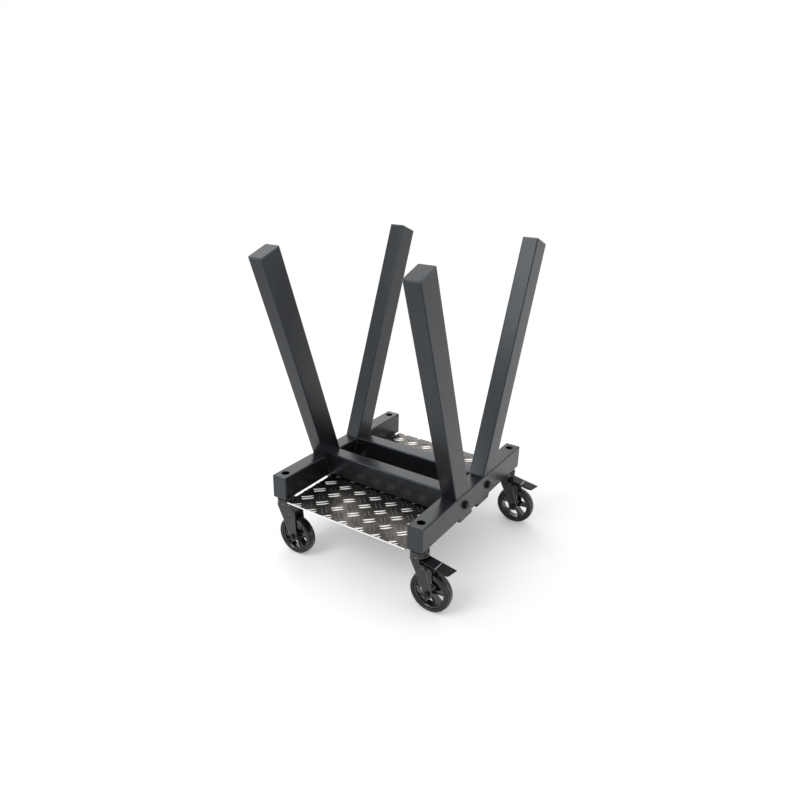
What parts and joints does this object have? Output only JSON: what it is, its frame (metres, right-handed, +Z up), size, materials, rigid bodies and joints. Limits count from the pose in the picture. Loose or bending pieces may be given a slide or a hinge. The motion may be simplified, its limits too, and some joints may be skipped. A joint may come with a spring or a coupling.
{
  "type": "fireside log cart",
  "caption": "Low black steel cart on swivel casters, with leaning tube uprights that cradle logs above an open tread-plate shelf.",
  "frame": {"origin": "bottom centre of the whole bounding box, on the floor; the frame centre line lies 28.35 mm to -X of it because the casters trail to +X", "axes": "+Z up, +X towards the side with the brake pedals, -Y the front; the uprights lean towards -Y and +Y"},
  "size_m": [0.4994, 0.5988, 0.7616],
  "materials": {
    "frame_coat": "semi-gloss black powder coat over steel tube",
    "end_cap": "smooth black end caps, a little softer in shine than the coat",
    "black_bolt": "black oxide, slightly oily",
    "tread_aluminium": "bright rolled tread sheet with raised bars in pairs",
    "plated_steel": "dull zinc plate",
    "caster_coat": "black plated pressed steel",
    "pedal_coat": "black painted pressed steel",
    "rim": "glossy black moulded wheel centre",
    "tread_tyre": "dull black rubber",
    "pad_rubber": "dull black rubber"
  },
  "bodies": {
    "frame": {"left_rail": "frame_coat", "right_rail": "frame_coat", "cross_member_front": "frame_coat", "cross_member_rear": "frame_coat", "tread_plate": "tread_aluminium", "upright_front_left": "frame_coat", "upright_front_right": "frame_coat", "upright_rear_left": "frame_coat", "upright_rear_right": "frame_coat", "rail_cap_front_left": "end_cap", "rail_cap_front_right": "end_cap", "rail_cap_rear_left": "end_cap", "rail_cap_rear_right": "end_cap", "upright_cap_front_left": "end_cap", "upright_cap_front_right": "end_cap", "upright_cap_rear_left": "end_cap", "upright_cap_rear_right": "end_cap", "cross_bolt_front_left": "black_bolt", "cross_bolt_front_right": "black_bolt", "cross_bolt_rear_left": "black_bolt", "cross_bolt_rear_right": "black_bolt", "plate_screw_front_left": "plated_steel", "plate_screw_front_right": "plated_steel", "plate_screw_rear_left": "plated_steel", "plate_screw_rear_right": "plated_steel", "caster_mount_front_left": "caster_coat", "caster_mount_front_right": "caster_coat", "caster_mount_rear_left": "caster_coat", "caster_mount_rear_right": "caster_coat", "caster_bolt_front_left": "plated_steel", "caster_bolt_front_right": "plated_steel", "caster_bolt_rear_left": "plated_steel", "caster_bolt_rear_right": "plated_steel"},
    "fork_front_left": {"fork_front_left": "caster_coat", "swivel_race_front_left": "plated_steel", "axle_front_left": "black_bolt"},
    "wheel_front_left": {"wheel_rim_front_left": "rim", "tyre_front_left": "tread_tyre"},
    "fork_front_right": {"fork_front_right": "caster_coat", "swivel_race_front_right": "plated_steel", "axle_front_right": "black_bolt", "brake_pin_front_right": "black_bolt"},
    "wheel_front_right": {"wheel_rim_front_right": "rim", "tyre_front_right": "tread_tyre"},
    "pedal_front_right": {"brake_pedal_front_right": "pedal_coat", "brake_pad_front_right": "pad_rubber"},
    "fork_rear_left": {"fork_rear_left": "caster_coat", "swivel_race_rear_left": "plated_steel", "axle_rear_left": "black_bolt"},
    "wheel_rear_left": {"wheel_rim_rear_left": "rim", "tyre_rear_left": "tread_tyre"},
    "fork_rear_right": {"fork_rear_right": "caster_coat", "swivel_race_rear_right": "plated_steel", "axle_rear_right": "black_bolt", "brake_pin_rear_right": "black_bolt"},
    "wheel_rear_right": {"wheel_rim_rear_right": "rim", "tyre_rear_right": "tread_tyre"},
    "pedal_rear_right": {"brake_pedal_rear_right": "pedal_coat", "brake_pad_rear_right": "pad_rubber"}
  },
  "joints": [
    {"name": "swivel_front_left", "type": "hinge", "parent": "frame", "child": "fork_front_left", "pos_m": [-0.22135, -0.229, 0.135], "axis": [0, 0, 1], "continuous": true},
    {"name": "spin_front_left", "type": "hinge", "parent": "fork_front_left", "child": "wheel_front_left", "pos_m": [-0.18835, -0.229, 0.05], "axis": [0, 1, 0], "continuous": true},
    {"name": "swivel_front_right", "type": "hinge", "parent": "frame", "child": "fork_front_right", "pos_m": [0.16465, -0.229, 0.135], "axis": [0, 0, 1], "continuous": true},
    {"name": "spin_front_right", "type": "hinge", "parent": "fork_front_right", "child": "wheel_front_right", "pos_m": [0.19765, -0.229, 0.05], "axis": [0, 1, 0], "continuous": true},
    {"name": "pedal_front_right", "type": "hinge", "parent": "fork_front_right", "child": "pedal_front_right", "pos_m": [0.19065, -0.229, 0.112], "axis": [0, -1, 0], "range_deg": [0, 18]},
    {"name": "swivel_rear_left", "type": "hinge", "parent": "frame", "child": "fork_rear_left", "pos_m": [-0.22135, 0.229, 0.135], "axis": [0, 0, 1], "continuous": true},
    {"name": "spin_rear_left", "type": "hinge", "parent": "fork_rear_left", "child": "wheel_rear_left", "pos_m": [-0.18835, 0.229, 0.05], "axis": [0, 1, 0], "continuous": true},
    {"name": "swivel_rear_right", "type": "hinge", "parent": "frame", "child": "fork_rear_right", "pos_m": [0.16465, 0.229, 0.135], "axis": [0, 0, 1], "continuous": true},
    {"name": "spin_rear_right", "type": "hinge", "parent": "fork_rear_right", "child": "wheel_rear_right", "pos_m": [0.19765, 0.229, 0.05], "axis": [0, 1, 0], "continuous": true},
    {"name": "pedal_rear_right", "type": "hinge", "parent": "fork_rear_right", "child": "pedal_rear_right", "pos_m": [0.19065, 0.229, 0.112], "axis": [0, -1, 0], "range_deg": [0, 18]}
  ]
}
